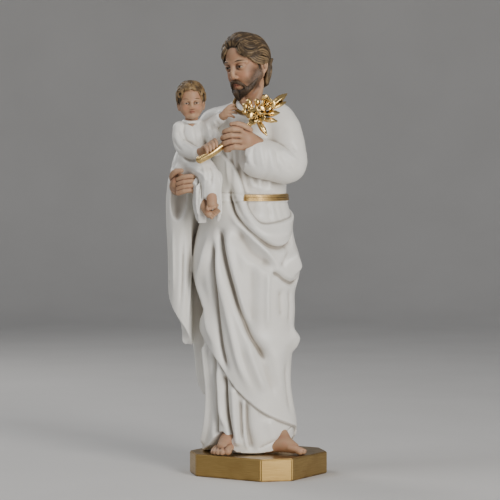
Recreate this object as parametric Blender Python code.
"""A saint in tunic and mantle, standing, with a child on the right arm and a gilt lily in the left hand.

Three pieces: the cast figure group, the gilt lily pushed through the closed hand, and the octagonal plinth.
The figure is laid out in millimetres in its three-quarter view: +X to the right of that view, -Y towards
the viewer, +Z up from the soles. It is then scaled to its height and turned to face the plinth's front.
"""
import math

import bmesh
import bpy
import numpy as np
import openvdb
from mathutils import Euler, Matrix, Vector

# Driving sizes, in metres.
FIGURE_HEIGHT = 0.380
PLINTH_WIDTH = 0.109
PLINTH_DEPTH = 0.101
PLINTH_HEIGHT = 0.020
PLINTH_CHAMFER = 0.020
PLINTH_EDGE_ROUND = 0.0009
SEAT_GAP = 0.0003
GRIP_GAP = 0.0004
THREE_QUARTER_TURN = math.radians(32.3)
FIGURE_SHIFT = -0.0027

# The clay figure is this tall, in millimetres, before it is scaled to FIGURE_HEIGHT.
CLAY_HEIGHT = 380.0
FOLD_RELIEF = 1.25
CLAY_CELL = 1.2
FIGURE_TRIANGLES = 7650
FINER_HOLD = 0.05
LILY_CELL = 1.0
LILY_TRIANGLES = 1850
FAR = 50.0


class Form:
    """A shape: the box that holds it and its signed distance, in millimetres, negative inside."""

    def __init__(self, low, high, distance):
        self.low = np.array(low, float)
        self.high = np.array(high, float)
        self.distance = distance

    def placed(self, place):
        """The same shape moved, turned and scaled by a 4 x 4 matrix."""
        corners = [place @ Vector((x, y, z)) for x in (self.low[0], self.high[0])
                   for y in (self.low[1], self.high[1]) for z in (self.low[2], self.high[2])]
        size = place.to_scale()[0]
        back = np.array(place.inverted())

        def distance(x, y, z):
            moved = [row[0] * x + row[1] * y + row[2] * z + row[3] for row in back[:3]]
            return self.distance(*moved) * size

        return Form(np.min(corners, axis=0), np.max(corners, axis=0), distance)


def place(centre, turn=(0, 0, 0), size=1.0):
    """A matrix that turns by X, Y and Z degrees, scales and then moves to the centre."""
    spin = Euler([math.radians(a) for a in turn]).to_matrix().to_4x4()
    return Matrix.Translation(centre) @ spin @ Matrix.Scale(size, 4)


def smooth_least(a, b, blend):
    """The nearer of two distances, with a fillet of about the blend."""
    if blend <= 0:
        return np.minimum(a, b)
    overlap = np.maximum(blend - np.abs(a - b), 0) / blend
    return np.minimum(a, b) - overlap * overlap * blend / 4


def ball(centre, radii, turn=(0, 0, 0)):
    """A ball, or an egg with three radii, turned by X, Y and Z degrees."""
    radii = np.broadcast_to(np.array(radii, float), 3)

    def distance(x, y, z):
        near = np.sqrt((x / radii[0]) ** 2 + (y / radii[1]) ** 2 + (z / radii[2]) ** 2)
        steep = np.sqrt((x / radii[0] ** 2) ** 2 + (y / radii[1] ** 2) ** 2 + (z / radii[2] ** 2) ** 2)
        return near * (near - 1) / np.maximum(steep, 1e-6)

    return Form(-radii, radii, distance).placed(place(centre, turn))


def smooth_path(points, steps=4):
    """Points on a smooth curve through the given ones."""
    points = np.array(points, float)
    ends = np.vstack([2 * points[0] - points[1], points, 2 * points[-1] - points[-2]])
    found = []
    for i in range(1, len(ends) - 2):
        a, b, c, d = ends[i - 1:i + 3]
        for t in np.arange(steps) / steps:
            found.append(0.5 * (2 * b + (c - a) * t + (2 * a - 5 * b + 4 * c - d) * t**2
                                + (3 * b - a - 3 * c + d) * t**3))
    return np.array(found + [points[-1]])


def limb(points, steps=4):
    """A round tube of changing radius along a smooth curve. Each point is (x, y, z, radius)."""
    path = smooth_path(points, steps)
    centres, radii = path[:, :3], path[:, 3]
    most = radii.max()

    def distance(x, y, z):
        least = None
        for a, b, ra, rb in zip(centres, centres[1:], radii, radii[1:]):
            run = b - a
            along = (x - a[0]) * run[0] + (y - a[1]) * run[1] + (z - a[2]) * run[2]
            along = np.clip(along / max(run @ run, 1e-9), 0, 1)
            away = np.sqrt((x - a[0] - along * run[0]) ** 2 + (y - a[1] - along * run[1]) ** 2
                           + (z - a[2] - along * run[2]) ** 2) - (ra + along * (rb - ra))
            least = away if least is None else np.minimum(least, away)
        return least

    return Form(centres.min(0) - most, centres.max(0) + most, distance)


def joined(blend, *forms):
    """Several forms as one, with fillets of about the blend."""

    def distance(x, y, z):
        total = forms[0].distance(x, y, z)
        for form in forms[1:]:
            total = smooth_least(total, form.distance(x, y, z), blend)
        return total

    low = np.min([form.low for form in forms], axis=0) - blend
    return Form(low, np.max([form.high for form in forms], axis=0) + blend, distance)


def carved(form, tool, blend):
    """A form with the tool's shape cut out of it, its edges softened by the blend."""

    def distance(x, y, z):
        return -smooth_least(-form.distance(x, y, z), tool.distance(x, y, z), blend)

    return Form(form.low, form.high, distance)


class Clay:
    """A block of clay as signed distances on a regular grid, in which forms are joined and cut."""

    NEARLY_FLAT = 0.2

    def __init__(self, low, high, cell):
        self.cell = cell
        self.axes = [np.arange(a, b + self.cell, self.cell, dtype=np.float32) for a, b in zip(low, high)]
        self.depth = np.full([len(axis) for axis in self.axes], FAR, np.float32)

    def spans(self, low, high):
        return tuple(slice(*np.searchsorted(axis, (a, b))) for axis, a, b in zip(self.axes, low, high))

    def reach(self, form, blend):
        margin = max(3 * self.cell, 2.0) + blend
        spans = self.spans(form.low - margin, form.high + margin)
        return spans, form.distance(*np.ix_(*[axis[span] for axis, span in zip(self.axes, spans)]))

    def add(self, form, blend=0.0):
        spans, distance = self.reach(form, blend)
        self.depth[spans] = smooth_least(self.depth[spans], distance, blend)

    def cut(self, form, blend=0.0):
        spans, distance = self.reach(form, blend)
        self.depth[spans] = -smooth_least(-self.depth[spans], distance, blend)

    def strand(self, points, blend, steps=3):
        """A long thin limb, laid on the clay one short length at a time."""
        path = smooth_path(points, steps)
        for a, b in zip(path, path[1:]):
            self.add(limb([a, b], 1), blend)

    def crease(self, path, height, width, taper=0.3):
        """Raises a soft fold along a curve over the clay's skin, or sinks one if height is negative.
        Distance along Y counts for little, so the curve may lie well in front of the skin."""
        curve = smooth_path(path, 4)
        reach = 2.4 * width
        away_y = reach / self.NEARLY_FLAT
        spans = self.spans(curve.min(0) - (reach, away_y, reach), curve.max(0) + (reach, away_y, reach))
        x, y, z = np.ix_(*[axis[span] for axis, span in zip(self.axes, spans)])
        nearest, run = None, None
        for i in range(len(curve) - 1):
            (ax, ay, az), (dx, dy, dz) = curve[i], (curve[i + 1] - curve[i])
            dy = dy * self.NEARLY_FLAT
            square = max(dx * dx + dy * dy + dz * dz, 1e-9)
            off = (y - ay) * self.NEARLY_FLAT
            t = np.clip(((x - ax) * dx + off * dy + (z - az) * dz) / square, 0, 1)
            away = (x - ax - t * dx) ** 2 + (off - t * dy) ** 2 + (z - az - t * dz) ** 2
            if nearest is None:
                nearest, run = away, t
            else:
                run = np.where(away < nearest, i + t, run)
                nearest = np.minimum(nearest, away)
        share = run / (len(curve) - 1)
        fade = np.clip(np.minimum(share, 1 - share) / taper, 0, 1)
        self.depth[spans] -= height * fade * fade * (3 - 2 * fade) * np.exp(-nearest / width**2)

    def trim_below(self, height):
        self.depth = np.maximum(self.depth, height - self.axes[2][None, None, :])

    def mesh(self, name):
        """The clay's skin as a mesh, in the clay's millimetres."""
        band = 3 * self.cell
        grid = openvdb.FloatGrid(band)
        grid.copyFromArray(np.clip(self.depth, -band, band))
        points, triangles, quads = grid.convertToPolygons(0.0, 0.0)
        points = points * self.cell + [axis[0] for axis in self.axes]
        mesh = bpy.data.meshes.new(name)
        mesh.from_pydata(points.tolist(), [], triangles.tolist() + quads.tolist())
        keep_largest_body(mesh)
        return mesh


class Turned:
    """Clay seen in a turned frame, so that a head on it can be laid out upright."""

    def __init__(self, clay, frame):
        self.clay, self.frame, self.size = clay, frame, frame.to_scale()[0]

    def add(self, form, blend=0.0):
        self.clay.add(form.placed(self.frame), blend * self.size)

    def cut(self, form, blend=0.0):
        self.clay.cut(form.placed(self.frame), blend * self.size)

    def strand(self, points, blend, steps=3):
        path = smooth_path(points, steps)
        for a, b in zip(path, path[1:]):
            self.add(limb([a, b], 1), blend)


def keep_largest_body(mesh):
    """Drops crumbs and turns all faces outwards."""
    shape = bmesh.new()
    shape.from_mesh(mesh)
    waiting = set(shape.verts)
    bodies = []
    while waiting:
        first = waiting.pop()
        body, edge = [first], [first]
        while edge:
            for link in edge.pop().link_edges:
                for other in link.verts:
                    if other in waiting:
                        waiting.remove(other)
                        body.append(other)
                        edge.append(other)
        bodies.append(body)
    bodies.sort(key=len)
    for crumb in bodies[:-1]:
        bmesh.ops.delete(shape, geom=crumb, context="VERTS")
    bmesh.ops.recalc_face_normals(shape, faces=shape.faces)
    shape.to_mesh(mesh)
    shape.free()


class Drape:
    """Cloth as a radius round an upright axis. Four outlines set its mass: how far it reaches from the
    axis to the left, right, front and back. Folds are drawn on it as paths of (degrees, height), where
    0 degrees faces the viewer and positive degrees go to the right."""

    GIRTH = 42.0

    def __init__(self, axis, rows, cell, hem=None, relief=1.0):
        self.axis = axis
        self.relief = relief
        rows = np.array(rows, float)
        self.low, self.high = rows[0, 0], rows[-1, 0]
        self.hem = hem
        self.angles = np.radians(np.arange(-180, 180, math.degrees(cell / self.GIRTH)))
        self.heights = np.arange(self.low, self.high + cell, cell)
        fine = smooth_path(rows, 8)
        left, right, front, back = [
            np.interp(self.heights, fine[:, 0], fine[:, i])[None, :] for i in range(1, 5)
        ]
        across, ahead = np.sin(self.angles)[:, None], np.cos(self.angles)[:, None]
        side = np.where(across < 0, left, right)
        deep = np.where(ahead > 0, front, back)
        self.radius = 1 / np.sqrt((across / side) ** 2 + (ahead / deep) ** 2)
        self.u = (self.angles * self.GIRTH)[:, None]
        self.v = self.heights[None, :]

    def unrolled(self, path):
        path = smooth_path([p[:2] for p in path], 4)
        return np.column_stack([np.radians(path[:, 0]) * self.GIRTH, path[:, 1]])

    def fold(self, path, height, width, other=None, taper=0.25):
        """A ridge along the path, or a groove if its height is negative. It is width wide to its left
        and other wide to its right as the path runs, and dies away over its ends."""
        path = self.unrolled(path)
        other = width if other is None else other
        lengths = np.concatenate([[0], np.cumsum(np.linalg.norm(np.diff(path, axis=0), axis=1))])
        turn = 2 * math.pi * self.GIRTH
        reach = 2.6 * max(width, other)
        for shift in (-turn, 0, turn):
            near_u = np.abs(self.u[:, 0] + shift - (path[:, 0].max() + path[:, 0].min()) / 2)
            near_v = np.abs(self.v[0] - (path[:, 1].max() + path[:, 1].min()) / 2)
            window = np.ix_(np.flatnonzero(near_u < np.ptp(path[:, 0]) / 2 + reach),
                            np.flatnonzero(near_v < np.ptp(path[:, 1]) / 2 + reach))
            u, v = self.u[window[0][:, 0]] + shift, self.v[:, window[1][0]]
            if not u.size or not v.size:
                continue
            nearest = np.full((u.size, v.size), 1e9)
            side, run = np.zeros(nearest.shape), np.zeros(nearest.shape)
            for i in range(len(path) - 1):
                du, dv = path[i + 1] - path[i]
                square = max(du * du + dv * dv, 1e-9)
                pu, pv = u - path[i, 0], v - path[i, 1]
                t = np.clip((pu * du + pv * dv) / square, 0, 1)
                away = np.hypot(pu - t * du, pv - t * dv)
                closer = away < nearest
                nearest = np.where(closer, away, nearest)
                side = np.where(closer, du * pv - dv * pu, side)
                run = np.where(closer, lengths[i] + t * (lengths[i + 1] - lengths[i]), run)
            share = run / lengths[-1]
            fade = np.clip(np.minimum(share, 1 - share) / max(taper, 1e-6), 0, 1)
            fade = fade * fade * (3 - 2 * fade) if taper else 1.0
            across = nearest / np.where(side > 0, width, other)
            self.radius[window] += height * self.relief * fade * np.exp(-across * across)

    def inside(self, outline):
        """How far each place lies inside a closed outline of (degrees, height), in millimetres."""
        path = self.unrolled(list(outline) + [outline[0]])
        turn = 2 * math.pi * self.GIRTH
        best = np.full(self.radius.shape, -1e9)
        for shift in (-turn, 0, turn):
            u = self.u + shift
            nearest = np.full(self.radius.shape, 1e9)
            crossings = np.zeros(self.radius.shape, bool)
            for (au, av), (bu, bv) in zip(path, path[1:]):
                du, dv = bu - au, bv - av
                square = max(du * du + dv * dv, 1e-9)
                t = np.clip(((u - au) * du + (self.v - av) * dv) / square, 0, 1)
                nearest = np.minimum(nearest, np.hypot(u - au - t * du, self.v - av - t * dv))
                if abs(dv) > 1e-9:
                    spans = (av > self.v) != (bv > self.v)
                    crossings ^= spans & (u < au + (self.v - av) * du / dv)
            best = np.maximum(best, np.where(crossings, nearest, -nearest))
        return best

    def layer(self, outline, thickness, edge=1.2):
        """A second cloth laid over the outline, or a recess if its thickness is negative."""
        rise = np.clip(self.inside(outline) / edge + 0.5, 0, 1)
        self.radius += thickness * rise * rise * (3 - 2 * rise)

    def form(self):
        cx, cy = self.axis
        radius = np.vstack([self.radius, self.radius[:1]])
        step = self.angles[1] - self.angles[0]
        rise = self.heights[1] - self.heights[0]
        last_angle, last_height = radius.shape[0] - 1, radius.shape[1] - 1

        def distance(x, y, z):
            dx, dy = x - cx, cy - y
            angle = np.arctan2(dx, dy)
            i = np.clip((angle - self.angles[0]) / step, 0, last_angle)
            j = np.clip((z - self.low) / rise, 0, last_height)
            i0 = np.minimum(i.astype(np.int32), last_angle - 1)
            j0 = np.minimum(j.astype(np.int32), last_height - 1)
            i1 = i0 + 1
            fi, fj = i - i0, j - j0
            r = (radius[i0, j0] * (1 - fi) * (1 - fj) + radius[i1, j0] * fi * (1 - fj)
                 + radius[i0, j0 + 1] * (1 - fi) * fj + radius[i1, j0 + 1] * fi * fj)
            away = (np.hypot(dx, dy) - r) * 0.85
            away = np.maximum(away, np.maximum(self.low - z, z - self.high))
            if self.hem is not None:
                ends = np.array(self.hem, float)
                away = np.maximum(away, np.interp(np.degrees(angle), ends[:, 0], ends[:, 1]) - z)
            return away

        most = radius.max() + 1
        return Form((cx - most, cy - most, self.low), (cx + most, cy + most, self.high), distance)


def tunic_and_mantle(cell):
    """The saint's dress from the soles to the neck: a tunic under a mantle that is wound round the hips."""
    rows = [  # height, then reach to the left, right, front and back of the axis
        (0, 42, 41, 33, 37), (6, 42, 41, 33, 37), (13, 40.5, 41, 33, 36), (28, 39, 40.5, 33, 36),
        (45, 38, 37.5, 33, 36), (60, 38, 35.5, 34, 37), (75, 39.5, 35.5, 35, 38), (90, 40.5, 37, 36, 39),
        (102, 41, 42, 36, 40), (112, 42, 38.5, 36, 41), (128, 41.5, 39, 37, 42), (144, 44, 39, 38, 42),
        (160, 48, 43, 39, 43), (176, 48, 43, 39, 43), (190, 46, 39, 38, 42), (202, 43, 37, 36, 40),
        (213, 40, 38, 34, 38), (222, 37, 36, 31, 35), (232, 35, 34, 29, 33), (250, 34, 35, 28, 32),
        (272, 35, 37, 28, 32), (290, 35, 38, 26, 31), (302, 31, 34, 22, 28), (310, 22, 26, 16, 22),
        (316, 14, 18, 12, 14),
    ]
    hem = [
        (-180, 0), (-96, 0), (-80, 1), (-66, 6), (-52, 19), (-42, 20), (-33, 16), (-27, 5), (-20, 2), (0, 1),
        (14, 1), (33, 2), (48, 4), (58, 6), (67, 8), (76, 12), (86, 14), (98, 9), (110, 1), (180, 0),
    ]
    robe = Drape((-6, 2), rows, cell, hem, FOLD_RELIEF)
    # The mantle over the tunic, from its top edge round the hips to its slanting hem.
    robe.layer(
        [(-90, 275), (-60, 274), (-41, 266), (-26, 258), (-14, 246), (-6, 230), (-1, 220), (8, 211),
         (18, 206), (35, 206), (59, 209), (90, 214), (130, 228), (180, 250), (225, 262), (225, 60),
         (180, 28), (130, 14), (100, 12), (90, 20), (63, 26), (29, 35), (7, 44), (-14, 56), (-29, 68),
         (-46, 84), (-64, 98), (-84, 110), (-84, 119), (-72, 127), (-74, 133), (-88, 155), (-92, 182)],
        3.0, 1.6,
    )
    # The roll of the mantle's top edge across the hips, and the swag that hangs under it.
    robe.fold([(-36, 258), (-24, 245), (-14, 231), (-7, 218), (3, 207), (16, 199), (34, 196), (58, 200),
               (84, 207)], 3.8, 7)
    robe.fold([(-31, 243), (-18, 225), (-6, 211), (6, 202)], -1.4, 2.4)
    robe.fold([(-31, 240), (-28, 228), (-20, 216), (-8, 206), (4, 198), (17, 191), (31, 186), (45, 185),
               (59, 188), (74, 198)], -4.2, 1.9, 3.2, 0.12)
    robe.fold([(-28, 225), (-21, 213), (-8, 203), (7, 193), (25, 179), (42, 164)], 2.6, 2.8)
    robe.fold([(-22, 205), (-7, 190), (6, 179), (24, 171), (38, 167)], -4.6, 6)
    robe.fold([(62, 188), (48, 174), (40, 165)], -1.8, 3)
    robe.fold([(58, 182), (68, 170), (76, 162)], 3.6, 8)
    robe.fold([(27, 164), (39, 161), (51, 156), (69, 153), (90, 157)], -3.6, 2.2, 3, 0.15)
    # Long folds that run down from the left hip to the slanting hem.
    robe.fold([(-40, 205), (-39, 198), (-32, 176), (-22, 150), (-14, 131), (-4, 114), (6, 102), (18, 92),
               (28, 83)], -5.0, 3.6, 3.0, 0.1)
    robe.fold([(-29, 208), (-24, 184), (-16, 158), (-8, 134), (0, 116)], 2.4, 3.6)
    robe.fold([(-44, 200), (-38, 170), (-34, 148), (-27, 124), (-19, 99), (-11, 78), (-1, 63), (9, 51)],
              2.6, 3.6)
    robe.fold([(-48, 196), (-46, 161), (-46, 134), (-42, 107), (-37, 89), (-27, 71)], -4.6, 3.6, 3.6, 0.15)
    robe.fold([(-54, 200), (-58, 172), (-68, 152), (-62, 135), (-56, 111), (-46, 92)], 3.0, 3.6)
    robe.fold([(-72, 134), (-66, 130), (-60, 127)], -2.0, 2)
    robe.fold([(3, 178), (4, 152), (4, 130), (2, 106)], -2.8, 6)
    robe.fold([(24, 168), (24, 139), (25, 112)], 1.7, 2.6)
    robe.fold([(43, 150), (47, 120)], -1.8, 4)
    robe.fold([(8, 103), (22, 85), (34, 64), (44, 46)], -2.8, 6)
    robe.fold([(-4, 103), (9, 78), (24, 54)], 2.4, 4.5)
    robe.fold([(40, 100), (43, 75), (42, 46)], 2.0, 9)
    robe.fold([(62, 112), (76, 104), (80, 88)], 2.2, 6)
    robe.fold([(60, 150), (66, 132), (62, 114)], -1.6, 3.5)
    robe.fold([(58, 84), (68, 60), (70, 32)], -1.8, 4.5)
    # The tunic's own folds below that hem, spreading over the feet.
    robe.fold([(-73, 100), (-71, 72), (-70, 47), (-73, 24), (-82, 4)], 3.6, 3.0, 4.4, 0.08)
    robe.fold([(-56, 92), (-55, 48), (-54, 25), (-53, 12)], -5.0, 2.6, 2.8, 0.1)
    robe.fold([(-46, 84), (-46, 48), (-42, 32), (-34, 21)], 2.6, 2.6)
    robe.fold([(-37, 72), (-36, 44), (-32, 29), (-25, 12)], -4.4, 2.3, 2.5, 0.1)
    robe.fold([(-24, 62), (-21, 31), (-16, 6)], 3.0, 3.8, 3.8, 0.1)
    robe.fold([(-14, 52), (-12, 27), (-9, 12)], -1.5, 2.2)
    robe.fold([(-8, 50), (-7, 23), (-2, 4)], 1.6, 1.6, 1.6, 0.1)
    robe.fold([(-4, 50), (-2, 28), (3, 14), (9, 1)], -2.7, 3.4, 5.0, 0.2)
    robe.fold([(14, 5), (35, 10.5), (53, 16), (76, 23)], -0.9, 0.9, 0.9, 0.08)
    robe.fold([(30, 34), (38, 20), (40, 8)], 1.2, 6)
    # The belt, the gathers under it and the bodice above.
    robe.layer([(-50, 233.5), (-4, 232.5), (23, 232), (62, 232.5), (140, 234), (220, 236), (220, 229),
                (140, 227.5), (62, 226), (23, 226), (-4, 226.5), (-50, 227)], 1.5, 1.2)
    for angle, foot, depth, width in ((8, 214, -0.6, 3.2), (20, 208, 0.6, 4.6), (31, 206, -0.7, 2.6),
                                      (38, 206, 0.7, 2.8), (45, 206, -0.7, 2.8), (58, 208, -0.5, 3.6)):
        robe.fold([(angle, 228), (angle + 1, 0.5 * (228 + foot)), (angle + 2, foot)], depth, width,
                  taper=0.45)
    for angle, top, width in ((-34, 292, 2.8), (-22, 290, 2.6), (-10, 280, 3.0), (3, 266, 3.2),
                              (17, 258, 3.2), (34, 250, 3.4)):
        robe.fold([(angle - 4, top), (angle, 252), (angle + 5, 234)], 1.2, width, taper=0.4)
    robe.fold([(-6, 250), (8, 241), (28, 237), (52, 237)], 1.2, 2.8)
    # The back in keeping: four long folds hang from the mantle's rising top edge.
    for top, foot, depth in ((104, 100, -2.4), (122, 118, 2.6), (140, 134, -3.2), (158, 150, 2.6),
                             (178, 168, -3.2), (197, 186, 2.8), (213, 203, -3.0)):
        robe.fold([(top + 6, 236 if top > 160 else 216), (top, 170), (foot, 96), (foot, 34)], depth, 4.2)
    for angle in (112, 140, 168, 196):
        robe.fold([(angle, 296), (angle - 3, 262), (angle - 2, 240)], -1.5, 3.4)
    return robe.form()


def hanging_end(cell):
    """The end of the mantle that hangs from the right forearm, with the wide mouth of the sleeve."""
    rows = [
        (58, 8, 9, 8, 16), (80, 9, 9.5, 9, 16), (100, 11, 9.5, 11, 17), (122, 11.5, 10, 13, 18),
        (146, 12, 10, 14, 19), (180, 12.5, 10.5, 15, 20), (206, 13.8, 10.5, 16, 20), (228, 14, 11, 17, 20),
        (243, 12, 12, 16, 20), (252, 7, 8, 9, 14),
    ]
    hem = [(-180, 112), (-150, 128), (-120, 140), (-92, 145), (-70, 140), (-40, 130), (-10, 120), (30, 108),
           (70, 99), (100, 96), (130, 100), (180, 112)]
    end = Drape((-67, 4), rows, cell, hem)
    end.fold([(-30, 208), (-28, 170), (-34, 138)], 1.6, 4.0, taper=0.4)
    end.fold([(44, 212), (44, 160), (34, 118), (36, 106)], 1.8, 4.0, taper=0.4)
    end.fold([(8, 206), (7, 170), (2, 144), (-12, 122)], -2.0, 4.6, taper=0.4)
    end.fold([(-62, 156), (-70, 142)], -1.8, 2.4)
    end.fold([(-66, 202), (-62, 168), (-58, 146)], -1.0, 3.6, taper=0.4)
    end.fold([(-105, 236), (-104, 180), (-100, 150)], -1.6, 3.0)
    end.fold([(-138, 240), (-138, 150)], 2.0, 3.4)
    end.fold([(-164, 240), (-162, 110)], -2.4, 3.0)
    return end.form()


SLEEVE_HOLLOW = ball((-69.5, -13, 227.5), (7.4, 13, 18.5), (0, 3, 0))


def carrying_arm():
    """The right arm under the mantle, from shoulder to wrist, and the cloth that falls behind it."""
    return (
        (limb([(-60, 16, 236, 12), (-58, 16, 180, 11), (-54, 17, 130, 11), (-47.5, 14, 96, 9.5),
               (-46.6, 12, 66, 7), (-45, 8, 54, 4)]), 5),
        (limb([(-34, 18, 298, 12), (-52, 17, 282, 12), (-62, 12, 262, 13), (-66, 4, 246, 11)]), 6),
    )


def add_shoulders(clay):
    """The shoulders, and the tunic's stand round the neck."""
    clay.add(limb([(-38, 17, 298, 12), (-20, 8, 302, 13), (0, 0, 302, 14), (18, -6, 301, 13)]), 6)
    clay.add(limb([(-2, 2, 300, 14), (-3, 3, 306, 11)]), 4)


def add_sleeve(clay):
    """The left arm crosses the breast in a wide sleeve."""
    clay.add(limb([(4, -2, 300, 13), (20, -7, 301, 13), (26, -12, 293, 13.6), (29, -16, 277, 15)]), 6)
    sleeve = limb([(27, -13, 291, 13.6), (29.5, -17, 275, 15), (29, -20, 259.5, 16.8), (15, -27, 262, 17),
                   (3, -32, 266.5, 16.6), (-2, -34, 268.5, 16.2)])
    flare = limb([(3, -32, 262, 15), (-4, -36, 259.5, 8)])
    sleeve = joined(6, sleeve, flare)
    mouth = ball((-19, -37, 270), (15, 13.5, 19), (0, 6, 0))
    clay.add(carved(sleeve, mouth, 1.5), 2.0)
    for path, height, width in (
        ([(15.5, -34, 306), (16.5, -40, 292), (16.5, -44, 281)], -1.7, 1.4),
        ([(27, -32, 291), (22, -40, 286), (16.5, -44, 280)], -1.8, 1.4),
        ([(20, -42, 279), (29, -38, 276), (39, -31, 270)], -1.2, 1.8),
        ([(20, -42, 274), (30, -38, 268), (39, -31, 260)], 1.1, 2.2),
        ([(18, -42, 270), (27, -38, 260), (33, -31, 250)], -0.9, 2.2),
        ([(11, -46, 279), (14, -48, 265), (16, -45, 249)], 1.1, 2.2),
        ([(16, -46, 277), (19, -46, 263), (21, -43, 248)], -1.0, 2.0),
        ([(4, -49, 280), (6, -50, 266), (8, -47, 252)], 1.1, 2.2),
        ([(-1, -48, 277), (-2, -50, 266), (1, -48, 254)], -1.1, 1.8),
        ([(-6, -46, 270), (-6, -48, 264), (-4, -46, 257)], 0.9, 1.2),
        ([(-9, -46, 268), (-9, -48, 263), (-7, -46, 258)], -0.9, 1.0),
        ([(9, -36, 307), (8, -42, 293), (7, -45, 283)], 0.8, 2.0),
        ([(-8, -24, 300), (-14, -24, 290), (-18, -26, 280)], -1.0, 1.6),
        ([(-14, -24, 302), (-22, -24, 292), (-28, -26, 282)], 1.0, 1.8),
        ([(-20, -22, 304), (-27, -22, 296), (-33, -24, 288)], -1.0, 1.6),
    ):
        clay.crease(path, height, width)


def child_skirt(cell):
    """The skirt of the gown from the knees down, lifted in front over the feet, with a point of cloth
    hanging to either side."""
    rows = [(204, 9, 9.5, 6.5, 8), (214, 11.5, 11, 8.5, 10.5), (225, 14, 11.5, 10.5, 12.5),
            (235, 13.5, 11, 11.5, 13.5), (246, 12, 12, 12, 13), (252, 9, 10, 9, 10.5), (256, 3, 3, 3, 4)]
    hem = [(-180, 216), (-128, 214), (-106, 212), (-90, 207), (-76, 207), (-62, 214), (-48, 222), (-28, 230),
           (2, 232), (22, 227), (36, 217), (48, 210), (60, 208), (74, 212), (92, 216), (120, 218),
           (180, 216)]
    skirt = Drape((-41, -34), rows, cell, hem)
    for top, foot, depth, width in ((-70, -92, 1.6, 2.4), (-54, -74, -2.0, 2.0), (-40, -58, 1.8, 2.0),
                                    (-26, -40, -1.9, 1.6), (-12, -20, 1.6, 1.8), (2, 2, -1.7, 1.6),
                                    (16, 22, 1.8, 1.8), (30, 42, -2.0, 1.7), (44, 60, 1.8, 2.0),
                                    (60, 80, -1.6, 2.2)):
        skirt.fold([(top, 250), (0.6 * top + 0.4 * foot, 238), (foot, 222), (foot * 1.04, 206)], depth,
                   width, taper=0.12)
    return skirt.form()


def add_child_gown(clay, cell):
    """The seated body, the two wide sleeves and the skirt that falls from the lap."""
    clay.add(ball((-57, -12, 281), (13.6, 10.8, 17)), 1.5)
    clay.add(ball((-55, -17, 264), (15, 14, 12)), 4)
    clay.add(limb([(-68, -13, 291.5, 5.6), (-57, -12, 294.5, 6.4), (-44, -13, 292.5, 5.6)]), 3)
    clay.add(limb([(-57, -19, 259, 11), (-48, -31, 256, 11), (-42, -37, 248.5, 10.4)]), 4)
    clay.add(limb([(-58, -19, 254, 10), (-66, -20, 254, 7)]), 3)
    clay.add(limb([(-64, -15.5, 298.4, 1.3), (-61.5, -19.4, 297.4, 1.3), (-57.4, -20.8, 297.0, 1.3),
                   (-53, -19.4, 297.4, 1.3), (-50, -15.0, 298.4, 1.3)]), 1.4)
    clay.add(limb([(-42, -38, 249, 9.4), (-40, -41, 240, 8.4), (-39.5, -41.5, 233, 7)]), 2)
    skirt = carved(child_skirt(cell), ball((-40.5, -42, 216), (7.2, 10, 14)), 2.4)
    clay.add(skirt, 2.5)
    # The sleeve of the arm laid on the saint's breast hangs open beside the body.
    clay.add(limb([(-46, -13, 292, 6.2), (-38, -17, 296.5, 6.2), (-31.5, -21.5, 300.5, 5.8)]), 2)
    clay.add(limb([(-42, -15, 288, 7.5), (-37, -18, 282, 7.5), (-36, -18.5, 273, 6.5)]), 3)
    clay.add(limb([(-68, -14, 292, 6), (-68, -16, 283, 6.6), (-64.5, -21, 274.5, 6.9),
                   (-57, -29, 269.8, 6.7), (-52, -35, 268.8, 5.8)]), 1.4)
    for path, height, width in (
        ([(-50, -26, 299), (-46, -27, 290), (-44, -27, 276)], -1.3, 1.0),
        ([(-46, -26, 298), (-42, -27, 290), (-40.5, -27, 274)], 1.2, 1.1),
        ([(-42, -26, 299), (-38.5, -28, 290), (-37.4, -28, 272)], -1.3, 0.9),
        ([(-38, -27, 300), (-35, -28, 290), (-34.4, -28, 270)], 1.2, 1.0),
        ([(-34.5, -27, 299), (-32, -28, 290), (-31.5, -28, 274)], -1.1, 0.9),
        ([(-57, -25, 298), (-55, -27, 288), (-52, -30, 272)], -0.8, 1.3),
        ([(-52, -25, 299), (-50, -27, 288), (-48, -30, 274)], 0.8, 1.3),
        ([(-63, -24, 298), (-63.5, -26, 288), (-60, -30, 278)], -0.8, 1.4),
        ([(-74, -20, 284), (-70, -24, 276), (-64, -28, 270)], -0.9, 1.4),
        ([(-66, -26, 280), (-60, -31, 276), (-55, -36, 274)], 0.8, 1.2),
        ([(-70, -20, 290), (-66, -24, 283), (-62, -26, 279)], -0.8, 1.4),
        ([(-66, -28, 266), (-58, -34, 262), (-50, -40, 262)], -1.3, 1.4),
        ([(-62, -30, 258), (-54, -38, 256), (-46, -44, 256)], 1.0, 1.7),
        ([(-57, -36, 250), (-51, -42, 246), (-47, -46, 234)], -1.5, 1.5),
        ([(-57, -36, 244), (-53, -42, 240), (-51, -44, 226)], 1.4, 1.5),
        ([(-59, -36, 240), (-57, -40, 232), (-56, -42, 216)], -1.4, 1.6),
        ([(-56, -38, 254), (-48, -46, 251), (-42, -50, 243)], 1.2, 1.5),
        ([(-48, -44, 262), (-45, -46, 252), (-46, -48, 240)], 1.0, 1.4),
        ([(-42, -44, 260), (-38, -46, 250), (-40, -48, 238)], -1.0, 1.3),
    ):
        clay.crease(path, height, width)


def finger(clay, points, radius, blend=0.55):
    """A finger from its knuckle to its tip, a little fuller at each joint."""
    swell = (1.0, 1.1, 0.94, 1.0, 0.84, 0.72)
    path = smooth_path(points, 2)[: 2 * len(points)]
    sizes = np.interp(np.linspace(0, 1, len(path)), np.linspace(0, 1, len(swell)), swell) * radius
    clay.add(limb([(*spot, size) for spot, size in zip(path, sizes)], 1), blend)


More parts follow.
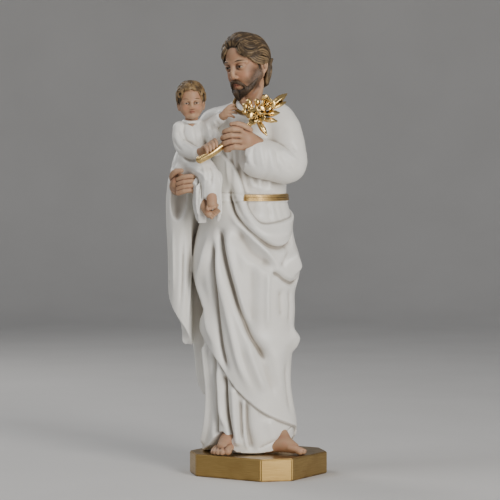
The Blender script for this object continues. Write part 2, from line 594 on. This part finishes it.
def add_saint_hands(clay):
    """The left fist holds the lily's stems. The right hand bears the child and grips its gown."""
    clay.add(limb([(6, -36, 272, 8.2), (-2, -40, 277.6, 8.0), (-8, -43.4, 280.4, 8.6)]), 1)
    clay.add(ball((-11.5, -45.0, 281.4), (9.2, 6.6, 9.8), (0, -10, 0)), 3)
    for rise, reach in ((289.2, 0.0), (284.0, 1.5), (278.8, 0.9), (274.0, -1.4)):
        clay.add(limb([(-4, -47.5, 279.5 + (rise - 281) * 0.45, 1.2), (-14, -51.0, rise, 1.9)]), 2)
        finger(clay, [(-13, -49.4, rise), (-19.5 - reach, -52.8, rise + 0.4),
                      (-25.4 - reach, -50.6, rise - 1.2), (-27.4 - reach, -45.5, rise - 2.2),
                      (-24.4 - reach, -40.5, rise - 2.4)], 2.7)
    finger(clay, [(-5, -45.5, 289), (-10, -48.6, 292.4), (-16, -50.4, 294.2), (-21.0, -50.0, 294.0)], 2.9)
    clay.add(limb([(-70, -6, 238, 6.6), (-71, -16, 239.5, 6.2), (-70, -23, 242, 6.4)]), 1)
    clay.add(ball((-68.6, -26.5, 243.5), (6.6, 6.0, 8.2), (0, 18, 0)), 2)
    for rise, reach in ((250.0, 0.6), (245.8, 1.4), (241.6, 0.8), (237.6, -0.8)):
        finger(clay, [(-68.5, -32.2, rise - 4.0), (-63, -36.0, rise - 2.2),
                      (-57.4 + reach, -36.4, rise - 1.4), (-53.8 + reach, -33.2, rise - 2.2),
                      (-54.6 + reach, -29.5, rise - 3.0)], 2.25)
    finger(clay, [(-74.0, -23, 246), (-73.6, -28.5, 250.2), (-70.4, -32.6, 253.0), (-65.6, -34.6, 253.6)],
           2.8)


def add_saint_feet(clay):
    """Bare feet under the hem, the right one turned to the viewer and the left one to the side."""
    clay.add(limb([(-21, -12, 16, 7.6), (-25, -22, 11.5, 7.4), (-28.5, -28.5, 6.8, 6.0)]), 1)
    for x, y, radius in ((-24.6, -35.6, 3.5), (-29.4, -36.0, 2.8), (-33.0, -34.4, 2.5), (-35.9, -31.8, 2.3),
                         (-38.2, -28.8, 2.0)):
        clay.add(limb([(x + 3, y + 9, radius + 3.4, radius), (x + 1, y + 4, radius + 2.2, radius * 0.94),
                       (x, y, radius + 0.1, radius)]), 0.7)
        clay.add(ball((x - 0.2, y - radius * 0.62, radius * 1.45),
                      (radius * 0.6, radius * 0.42, radius * 0.34)), 0.2)
    clay.add(limb([(8, -20, 4.4, 4.4), (18, -21.5, 6.8, 5.6), (27, -24.0, 8.2, 6.8), (34, -27.2, 5.8, 5.2)]),
             1)
    clay.add(limb([(24, -16, 16, 6), (27, -21, 10, 6.2)]), 2)
    for x, y, radius in ((39.6, -32.6, 3.4), (42.4, -29.4, 2.7), (43.4, -26.2, 2.4), (43.0, -23.2, 2.2),
                         (41.4, -20.6, 2.0)):
        clay.add(limb([(x - 9, y + 3.5, radius + 3.0, radius), (x - 4, y + 1.5, radius + 1.8, radius * 0.94),
                       (x, y, radius + 0.1, radius)]), 0.7)
        clay.add(ball((x + radius * 0.5, y - radius * 0.3, radius * 1.5),
                      (radius * 0.5, radius * 0.5, radius * 0.34)), 0.2)


def add_child_limbs(clay):
    """One hand lies on the saint's breast and one on the lily's stems. The feet rest one over the other."""
    clay.add(limb([(-32, -23, 301, 3.4), (-28, -26, 302.6, 4.0)]), 0.6)
    for lean, reach in ((8.2, 9.6), (5.2, 11.2), (2.0, 11.0), (-1.2, 9.0)):
        finger(clay, [(-28.6, -28, 302 + 0.45 * lean), (-24.2, -30.2, 303.6 + 0.8 * lean),
                      (-28 + reach * 0.82, -29.4, 303.4 + 1.05 * lean),
                      (-28 + reach, -27, 302.4 + 1.15 * lean)], 1.4)
    clay.add(limb([(-52, -35, 269, 3.6), (-46, -42, 271, 3.8)]), 0.5)
    clay.add(ball((-44.0, -43.5, 272.4), (5.0, 3.8, 4.2), (0, -30, 0)), 1)
    for along in range(4):
        x, z = -45.0 + 2.8 * along, 270.2 + 1.9 * along
        finger(clay, [(x - 0.6, -44.5, z + 3.6), (x + 0.8, -50.5, z + 4.6), (x + 2.2, -54.8, z + 2.2),
                      (x + 2.8, -55.6, z - 1.4)], 1.6, 1.1)
    clay.add(limb([(-40, -38, 240, 4.4), (-38.8, -44.5, 231.5, 4.7), (-38.4, -47.0, 224, 4.6)]), 0.6)
    for i in range(5):
        x = -42.0 + 2.0 * i
        clay.add(limb([(x + 0.3, -47, 223, 1.5), (x, -49.6, 219.4 + 0.5 * i, 1.55 - 0.12 * i)]), 0.35)
    clay.add(limb([(-46, -36, 229, 4.2), (-44.6, -40.5, 221.5, 4.2), (-41.0, -43.5, 215.4, 3.8)]), 0.6)
    for i in range(5):
        clay.add(limb([(-41 + 1.6 * i, -44.5, 214.6 + 1.2 * i, 1.4),
                       (-38.6 + 1.7 * i, -46, 211.6 + 1.5 * i, 1.3)]), 0.3)


SAINT_HEAD = place((-8.6, -4, 349.6), (12, -4, -42))
CHILD_HEAD = place((-57.6, -17.5, 316.5), (4, -3, 4))
CHILD_SIZE = 33 / 52

# Heights and reaches of a face on a 52 mm head: how far the eyes, nose, mouth and chin lie from its middle.
GROWN_FACE = {"eye": 0.0, "brow": 4.4, "nose": -9.0, "tip": -21.8, "mouth": -16.2, "lips": 4.2,
              "chin": (6.8, -20.2), "jaw": (14.2, -6.0, 17.5), "cheek": (5.2, -9.5), "ridge": 1.2,
              "socket": -19.0, "smile": 0.5, "shade": 0.45}
CHILD_FACE = {"eye": -3.4, "brow": 1.8, "nose": -9.6, "tip": -20.0, "mouth": -15.4, "lips": 3.9,
              "chin": (5.6, -20.2), "jaw": (15.2, -7.0, 16.0), "cheek": (6.3, -10.8), "ridge": 0.5,
              "socket": -20.2, "smile": 1.0, "shade": 0.12}
mouth_height = GROWN_FACE["mouth"]


def head(face):
    """The forms of a head in the order they are laid or cut, each with its blend."""
    forms = []

    def add(form, blend, cut=False):
        forms.append((form, blend, cut))

    eye, nose, mouth = face["eye"], face["nose"], face["mouth"]
    tip, lips = face["tip"], face["lips"]
    add(ball((0, 3, 6), (17.3, 21, 20)), 0)
    add(ball((0, -5.5, face["jaw"][1]), (face["jaw"][0], 13.4, face["jaw"][2])), 5)
    add(ball((0, -12, face["chin"][1]), (face["chin"][0], 5.8, 5.4)), 4)
    for side in (-1, 1):
        add(limb([(side * 13.5, 1, -10, 4.5), (side * 6, -10, -20, 4.4)]), 4)
        add(ball((side * 7.3, face["socket"], eye), (4.9, 4.3, 3.5)), 2.4, True)
        ridge = face["ridge"]
        add(limb([(side * 2.8, -17.0, eye + 4.3, ridge), (side * 8, -16.2, eye + 5.0, ridge),
                  (side * 12.5, -12.4, eye + 3.2, ridge + 0.1)]), 2.2)
        add(ball((side * face["cheek"][0] * 1.25, -10.2, face["cheek"][1]), (face["cheek"][0], 6.0, 6.6)), 3)
    add(limb([(0, -16.6, eye + 3.2, 1.8), (0, 0.5 * (tip - 16.6) - 0.6, 0.5 * (eye + nose), 1.8),
              (0, tip + 2.2, nose + 0.6, 2.4)]), 2)
    for side in (-1, 1):
        add(ball((side * 2.6, tip + 3.4, nose), (1.8, 2.5, 1.7)), 1.2)
        add(ball((side * 7.2, -13.7, eye), (3.7, 3.5, 3.4)), 0.3)
        upper = carved(ball((side * 7.2, -13.7, eye), (4.5, 4.1, 4.0)),
                       ball((side * 7.2, -16, eye - 6.3), (9, 9, 7.0)), 0.2)
        lower = carved(ball((side * 7.2, -13.7, eye), (4.4, 3.95, 3.9)),
                       ball((side * 7.2, -16, eye + 6.5), (9, 9, 7.5)), 0.2)
        add(upper, 0.8)
        add(lower, 1.0)
        add(ball((side * 17.2, 3.4, eye - 4.0), (1.8, 3.4, 5.8)), 1.0)
        add(limb([(side * 16.8, 1.0, eye - 2.0, 0.8), (side * 18.3, 1.8, eye + 1.4, 0.9),
                  (side * 19.0, 5.0, eye + 2.0, 1.0), (side * 19.2, 6.8, eye - 2.0, 1.0),
                  (side * 18.4, 5.0, eye - 7.0, 1.1), (side * 17.2, 2.6, eye - 9.6, 1.3)]), 0.6)
        add(ball((side * 18.8, 3.0, eye - 4.0), (1.2, 1.7, 3.0)), 0.7, True)
    corner = mouth + face["smile"]
    add(limb([(-lips, -16.6, corner, 0.7), (-1.3, -18.5, mouth + 1.1, 1.05), (0, -18.6, mouth + 0.9, 1.0),
              (1.3, -18.5, mouth + 1.1, 1.05), (lips, -16.6, corner, 0.7)]), 0.9)
    add(limb([(-lips + 0.7, -16.5, corner - 1.3, 0.7), (0, -18.1, mouth - 1.3, 1.25),
              (lips - 0.7, -16.5, corner - 1.3, 0.7)]), 0.9)
    add(limb([(-lips, -18.2, corner - 0.4, 0.2), (0, -20.1, mouth - 0.1, 0.25),
              (lips, -18.2, corner - 0.4, 0.2)]), 0.5, True)
    return forms


def over_skull(turn, rise, lift, size):
    """A point over the skull, by degrees round from the face and degrees up from its middle, and the
    way out from the skull there."""
    turn, rise = math.radians(turn), math.radians(rise)
    way = Vector((math.sin(turn) * math.cos(rise), -math.cos(turn) * math.cos(rise), math.sin(rise)))
    spot = Vector((way.x * (17.4 + lift), 3 + way.y * (21 + lift), 6 + way.z * (20 + lift)))
    return spot * size, way


def lock(clay, path, width, radius, size=1.0, strands=4, wave=0.0, phase=0.0, tail=(), blend=0.25):
    """A flat wavy lock of hair: strands side by side along (degrees round, degrees up, lift) over the
    skull and on through its tail's points, drawn together at both ends."""
    run = [over_skull(*spot, size) for spot in smooth_path(path, 3)]
    run += [(Vector(spot) * size, (Vector(spot) - Vector((0, 3, 0))).normalized()) for spot in tail]
    last = len(run) - 1
    for j in range(strands):
        across = (j / max(strands - 1, 1) - 0.5) * width * size
        points = []
        for i, (spot, way) in enumerate(run):
            along = (run[min(i + 1, last)][0] - run[max(i - 1, 0)][0]).normalized()
            aside = along.cross(way).normalized()
            share = i / last
            spread = math.sin(math.pi * min(0.86, 0.16 + 0.78 * share)) ** 0.7
            shift = across * spread + wave * size * math.sin(phase + 7.0 * share)
            lift = -0.35 * abs(across) + 0.3 * size * math.sin(1.9 * j + phase)
            spot = spot + aside * shift + way * lift
            swell = 0.62 + 0.45 * math.sin(math.pi * min(1, 0.15 + 0.8 * share))
            points.append((*spot, radius * size * swell))
        clay.strand(points, blend * size, 2)


SAINT_LOCKS = (  # Each lock's path from brow to back: degrees round, degrees up, lift.
    ((1, 41, 0.4), (5, 50, 3.2), (13, 63, 4.2), (40, 77, 3.2), (110, 80, 1.8), (160, 62, 1.4),
     (172, 34, 1.4), (176, 4, 1.4), (175, -26, 0.8), (178, -44, -0.6)),
    ((11, 40, 0.4), (16, 48, 3.4), (26, 58, 4.2), (52, 67, 3.2), (100, 67, 2.0), (144, 50, 1.6),
     (161, 18, 1.6), (166, -10, 1.4), (164, -38, 0.2)),
    ((20, 37, 0.4), (26, 44, 3.2), (36, 51, 4.0), (58, 56, 3.0), (96, 54, 2.2), (134, 35, 1.8),
     (149, 4, 1.8), (155, -20, 1.4), (153, -42, 0.0)),
    ((27, 44, 1.0), (32, 48, 3.0), (44, 46, 3.6), (62, 43, 3.2), (88, 44, 2.6), (114, 34, 2.2),
     (134, 12, 1.9), (143, -16, 1.8), (144, -42, 0.2)),
    ((30, 52, 2.6), (37, 40, 3.8), (48, 32, 3.6), (64, 30, 3.4), (85, 34, 3.2), (108, 27, 2.6),
     (128, 6, 2.2), (140, -22, 2.0)),
    ((27, 44, 1.8), (36, 29, 3.2), (48, 19, 3.2), (64, 15, 3.6), (84, 18, 3.8), (104, 13, 3.2),
     (122, -6, 2.6), (130, -32, 2.4)),
    ((30, 34, 1.0), (40, 20, 2.8), (51, 10, 3.0), (67, 5, 3.6), (86, 7, 4.2), (103, 2, 3.8), (116, -16, 3.0),
     (121, -40, 2.6)),
    ((36, 26, 0.6), (45, 13, 2.2), (55, 3, 2.4), (69, -5, 3.0), (86, -8, 4.0), (99, -12, 4.0),
     (108, -28, 3.2), (112, -46, 2.6)),
)


def add_saint_hair(clay):
    """A cap of hair cut away from the face and ears, then its locks, side by side, and the nape."""
    cap = ball((0, 4.0, 6.6), (18.2, 21.6, 20.6))
    cap = carved(cap, ball((0, -20, -7), (16.4, 23, 24)), 1.5)
    cap = carved(cap, ball((0, -3, -21), (24, 12, 19)), 1.5)
    for side in (-1, 1):
        cap = carved(cap, ball((side * 19.5, 2.4, -7.5), (4.5, 6.0, 8.5)), 1)
    clay.add(cap, 0.5)
    clay.add(ball((0, 12.6, -6), (14.6, 9.6, 13)), 3)
    for side in (-1, 1):
        for i, path in enumerate(SAINT_LOCKS):
            flipped = [(side * (turn + (0 if side > 0 else 3)), rise, lift) for turn, rise, lift in path]
            lock(clay, flipped, 2.6, 1.9, strands=2, wave=1.3, phase=1.3 * i + side, blend=0.15)
        for i in range(5):
            points = [(side * (17.4 - 0.9 * i), 8.6 + 2.6 * i, 0),
                      (side * (17.4 - 2.2 * i), 9.2 + 2.6 * i, -6),
                      (side * (16.0 - 2.6 * i), 9.6 + 2.2 * i, -12.5),
                      (side * (14.0 - 2.6 * i), 9.4 + 1.7 * i, -18.0 - 0.6 * i),
                      (side * (12.2 - 2.4 * i), 8.8 + 1.5 * i, -21.6 - 0.6 * i)]
            for j in (-1, 0, 1):
                clay.strand([(x + 1.3 * j * side * (1 - 0.25 * n) + 0.5 * side,
                              y + 1.1 * j + 1.1 * math.sin(1.7 * n + i), z, r)
                             for n, ((x, y, z), r) in enumerate(zip(points, (1.0, 1.4, 1.5, 1.2, 0.5)))],
                            0.12, 3)


def beard_body(grown):
    """The mass of the beard along the jaw, over the lip and on the chin."""
    parts = []
    for side in (-1, 1):
        parts.append(limb([(side * 15.6, 0.6, -2, 1.2 + grown), (side * 14.8, -0.8, -7, 2.0 + grown),
                           (side * 13.3, -3.5, -12.5, 2.8 + grown),
                           (side * 9.8, -9.0, -18.6, 3.6 + grown), (side * 4.5, -14.0, -22.8, 4.2 + grown),
                           (0, -15.6, -24.6, 4.2 + grown)]))
        parts.append(limb([(side * 0.3, -19.6, mouth_height + 3.2, 1.0 + grown),
                           (side * 4.0, -18.2, mouth_height + 2.4, 1.4 + grown),
                           (side * 6.8, -15.6, mouth_height - 0.8, 1.5 + grown),
                           (side * 7.2, -13.8, -21, 2.2 + grown)]))
    parts.append(limb([(0, -17.2, -20.6, 1.5 + grown), (0, -17.4, -25.5, 2.8 + grown),
                       (0, -16.2, -28.2, 2.0 + grown)]))
    return joined(1.5, *parts)


def add_child_hair(clay):
    """Loose curls that fall from the crown round the face, and down to the nape."""
    k = CHILD_SIZE
    cap = ball((0, 3.6 * k, 7 * k), (19.8 * k, 22.8 * k, 21.8 * k))
    cap = carved(cap, ball((0, -19 * k, -7 * k), (15.6 * k, 21 * k, 25.5 * k)), 1.2)
    cap = carved(cap, ball((0, -3 * k, -24 * k), (26 * k, 14 * k, 17 * k)), 1.2)
    clay.add(cap, 0.4)
    clay.add(ball((0, 12.5 * k, -6 * k), (14.5 * k, 9.5 * k, 13 * k)), 1.5)
    for row, (top, fall) in enumerate(((80, 0.40), (66, 0.74), (48, 1.0))):
        count = (14, 22, 26)[row]
        for i in range(count):
            turn = -180 + 360 / count * (i + 0.5 * row)
            front = max(0.0, math.cos(math.radians(turn))) ** 0.6
            low = 80 + (-40 + 68 * front - 80) * fall
            curl = 7 if (i + row) % 2 else -7
            start = min(top, low + 46)
            path = [(turn - 4, start, 1.4), (turn + curl, start - 0.3 * (start - low), 2.4 + 0.3 * row),
                    (turn - 0.8 * curl, start - 0.6 * (start - low), 2.8 + 0.3 * row),
                    (turn + 0.7 * curl, start - 0.85 * (start - low), 3.0 + 0.3 * row),
                    (turn + 1.4 * curl, low, 2.4)]
            lock(clay, path, 3.4, 0.95, k, 3, 0.35, 1.7 * i, blend=0.35)


COLLAR = ((-17, 6, 320), (-19, -7, 315), (-17.5, -15, 309), (-11, -19.5, 305.5), (-2, -19, 306.5),
          (6, -13, 312), (10.5, -3, 319), (7, 10, 322), (-6, 14, 322), (-17, 6, 320))


def lily_forms():
    """A gilt lily: a bundle of stems, two open flowers, a cluster of buds and pointed leaves."""
    forms = []
    for across, lift in ((-1.7, 0.5), (1.5, 0.9), (0, -1.3)):
        forms.append(limb([(-48.5, -50.5 + across, 263 + lift, 2.2), (-37, -49 + across, 269.5 + lift, 2.1),
                           (-26, -45.5 + across, 277.6 + lift, 1.9), (-14, -43.5 + across, 287 + lift, 1.5),
                           (-6, -44.5 + across, 293.5 + lift, 1.4), (2, -44.5, 300, 1.6)]))
    forms.append(ball((-48.8, -50.5, 263.0), (3.6, 3.5, 3.4)))

    def flower(centre, size, turn):
        """Three broad cupped petals over three more, with a boss and five stamens in the middle."""
        frame = place(centre, turn, size / 8.0)
        parts = [ball((0, 1.0, 0), (4.2, 2.6, 4.2)), ball((0, -2.4, 0), (1.5, 1.9, 1.5))]
        for i in range(6):
            spin = place((0, 0, 0), (0, 60 * i + 12, 0))
            out, ahead, lean, half = (3.5, -2.5, -38, 3.5) if i % 2 else (4.7, -0.5, -14, 4.3)
            parts.append(ball((out, ahead, 0), (half, 1.0, half), (0, 0, lean)).placed(spin))
        for i in range(5):
            a = math.radians(72 * i + 40)
            parts.append(ball((1.9 * math.cos(a), -3.9, 1.9 * math.sin(a)), 0.8))
        return [part.placed(frame) for part in parts]

    forms += flower((0.9, -49.5, 300.8), 7.6, (0, 0, -12))
    forms += flower((9.9, -46, 312.7), 7.2, (12, 0, 10))
    for x, y, z, size in ((-9.0, -44, 310.2, 2.5), (-4.6, -46.5, 307.4, 2.4), (-5.6, -44, 313.9, 2.5),
                          (-9.6, -44, 305.4, 2.3), (1.6, -44.5, 313.8, 2.6), (-6.4, -43.5, 302.4, 2.2)):
        forms.append(ball((x, y, z), (size, size, size * 1.3), (0, -22, 0)))
        forms.append(limb([(x, y, z, 1.5), (0, -43.5, 303, 1.5)], 2))

    def leaf(start, tip, width, turn):
        """A pointed leaf: a flat tapering egg with a raised midrib."""
        start, tip = Vector(start), Vector(tip)
        run = tip - start
        spin = run.to_track_quat("X", "Y").to_matrix().to_4x4()
        frame = Matrix.Translation((start + tip) / 2) @ spin @ Matrix.Rotation(math.radians(turn), 4, "X")
        half = run.length / 2
        blade = ball((-half * 0.12, 0, 0), (half * 1.0, 1.6, width))
        point = limb([(-half, 0, 0, width * 0.45), (half * 0.2, 0, 0, width * 0.7), (half, 0, 0, 0.5)], 3)
        return [blade.placed(frame), point.placed(frame),
                limb([(-half, -1.4, 0, 0.5), (half * 0.9, -1.0, 0, 0.4)], 1).placed(frame)]

    for start, tip, width, turn in (
        ((13, -41, 310.6), (28.0, -35.0, 321.8), 4.4, 0),
        ((13, -42, 308), (27.0, -37.0, 314.4), 3.4, 10),
        ((6, -46, 303), (21.4, -43.4, 304.6), 4.3, 0),
        ((5, -46, 299), (19.4, -46.5, 297.0), 3.6, 0),
        ((1, -46, 299), (10.2, -50.0, 284.2), 4.0, 0),
    ):
        forms += leaf(start, tip, width, turn)
    forms.append(limb([(2, -44.5, 300, 2.6), (6, -43, 306, 2.8), (11.4, -42, 312, 2.4)]))
    return forms


def figure_clay(cell):
    """The whole group as clay, from the soles upwards."""
    clay = Clay((-84, -60, -4), (52, 46, 384), cell)
    clay.add(tunic_and_mantle(0.9))
    clay.add(limb([(-6, 3, 6, 27), (-6, 3, 22, 27)]), 2)
    clay.add(hanging_end(0.9), 2)
    for under, blend in carrying_arm():
        clay.add(under, blend)
    clay.cut(SLEEVE_HOLLOW, 1.4)
    clay.add(limb([(-71, 3, 240, 8), (-71, -4, 238, 7)]), 1)
    add_shoulders(clay)
    for tendon in ((limb([(-2, 2, 304, 12), (-4, 0, 318, 11.2), (-6, -1, 334, 10.6)])),
                   limb([(-57, -13, 294, 6.6), (-57.2, -14, 301, 5.8), (-57.4, -14.5, 308, 5.4)])):
        clay.add(tendon, 2)
    add_saint_feet(clay)
    add_child_gown(clay, 0.9)
    add_child_limbs(clay)
    add_sleeve(clay)
    add_saint_hands(clay)
    clay.add(limb([(*spot, 1.7) for spot in COLLAR]), 0.6)
    saint, child = Turned(clay, SAINT_HEAD), Turned(clay, CHILD_HEAD)
    for form, blend, cut in head(GROWN_FACE):
        (saint.cut if cut else saint.add)(form, blend)
    saint.add(beard_body(0.8), 0.8)
    add_saint_hair(saint)
    small = Turned(clay, CHILD_HEAD @ Matrix.Scale(CHILD_SIZE, 4))
    for form, blend, cut in head(CHILD_FACE):
        (small.cut if cut else small.add)(form, blend)
    add_child_hair(child)
    return clay


def grown(form, by):
    return Form(form.low - by, form.high + by, lambda x, y, z: form.distance(x, y, z) - by)


def paint(name, colour, metal, rough):
    """A plain Principled material."""
    material = bpy.data.materials.new(name)
    material.use_nodes = True
    shader = material.node_tree.nodes["Principled BSDF"]
    shader.inputs["Base Color"].default_value = (*colour, 1)
    shader.inputs["Metallic"].default_value = metal
    shader.inputs["Roughness"].default_value = rough
    return material


def stand(name, mesh, triangles, material, finer=()):
    """Thins the skin, less where finer balls of (centre, reach) are, and scales it from the clay's
    millimetres to its place on the plinth."""
    thing = bpy.data.objects.new(name, mesh)
    bpy.context.scene.collection.objects.link(thing)
    thin = thing.modifiers.new("thin", "DECIMATE")
    thin.ratio = min(1.0, triangles / sum(len(face.vertices) - 2 for face in mesh.polygons))
    thin.use_collapse_triangulate = True
    if finer:
        group = thing.vertex_groups.new(name="finer")
        spots = np.empty(len(mesh.vertices) * 3)
        mesh.vertices.foreach_get("co", spots)
        spots = spots.reshape(-1, 3)
        held = np.zeros(len(spots))
        for centre, reach in finer:
            held = np.maximum(held, 1.6 - 1.6 * np.linalg.norm(spots - centre, axis=1) / reach)
        level = np.rint(np.clip(held, 0, 1) * 8).astype(int)
        for step in range(9):
            group.add(np.flatnonzero(level == step).tolist(), 1 - step / 9, "REPLACE")
        thin.vertex_group = group.name
        thin.vertex_group_factor = FINER_HOLD
    graph = bpy.context.evaluated_depsgraph_get()
    lean = bpy.data.meshes.new_from_object(thing.evaluated_get(graph), depsgraph=graph)
    thing.modifiers.clear()
    thing.data = lean
    keep_largest_body(lean)
    scale = FIGURE_HEIGHT / CLAY_HEIGHT
    lean.transform(Matrix.Translation((0, 0, PLINTH_HEIGHT + SEAT_GAP))
                   @ Matrix.Rotation(THREE_QUARTER_TURN, 4, "Z")
                   @ Matrix.Translation((FIGURE_SHIFT, 0, 0)) @ Matrix.Scale(scale, 4))
    lean.materials.clear()
    lean.materials.append(material)
    return thing


def make_plinth(material):
    """A rectangle with its four corners cut off, its top and bottom edges eased."""
    w, d, c = PLINTH_WIDTH / 2, PLINTH_DEPTH / 2, PLINTH_CHAMFER
    outline = [(w - c, -d), (w, -d + c), (w, d - c), (w - c, d), (-w + c, d), (-w, d - c), (-w, -d + c),
               (-w + c, -d)]
    shape = bmesh.new()
    base = [shape.verts.new((x, y, 0)) for x, y in outline]
    face = shape.faces.new(base)
    top = bmesh.ops.extrude_face_region(shape, geom=[face])["geom"]
    for vert in top:
        if isinstance(vert, bmesh.types.BMVert):
            vert.co.z = PLINTH_HEIGHT
    bmesh.ops.recalc_face_normals(shape, faces=shape.faces)
    bmesh.ops.bevel(shape, geom=list(shape.edges), offset=PLINTH_EDGE_ROUND, segments=3, affect="EDGES",
                    clamp_overlap=True)
    mesh = bpy.data.meshes.new("plinth")
    shape.to_mesh(mesh)
    shape.free()
    mesh.materials.append(material)
    thing = bpy.data.objects.new("plinth", mesh)
    bpy.context.scene.collection.objects.link(thing)


for old in list(bpy.data.objects):
    bpy.data.objects.remove(old, do_unlink=True)

stems = lily_forms()
group = figure_clay(CLAY_CELL)
for stem in stems:
    group.cut(grown(stem, GRIP_GAP * 1000 + 0.5), 0)
group.trim_below(0)
stand("figure", group.mesh("figure"), FIGURE_TRIANGLES, paint("painted_white", (0.80, 0.77, 0.71), 0, 0.5),
      (((-14, -18, 346), 38), ((-58, -24, 317), 26), ((-18, -46, 281), 20), ((-44, -48, 272), 14),
       ((-62, -32, 244), 18), ((-62, 2, 128), 24), ((-40, -46, 222), 16)))

spray = Clay((-54, -60, 255), (34, -26, 328), LILY_CELL)
for stem in stems:
    spray.add(stem, 0.8)
stand("lily_spray", spray.mesh("lily_spray"), LILY_TRIANGLES, paint("gilding", (0.80, 0.55, 0.20), 1, 0.3))

make_plinth(paint("gilt_plinth", (0.45, 0.28, 0.10), 0.6, 0.45))
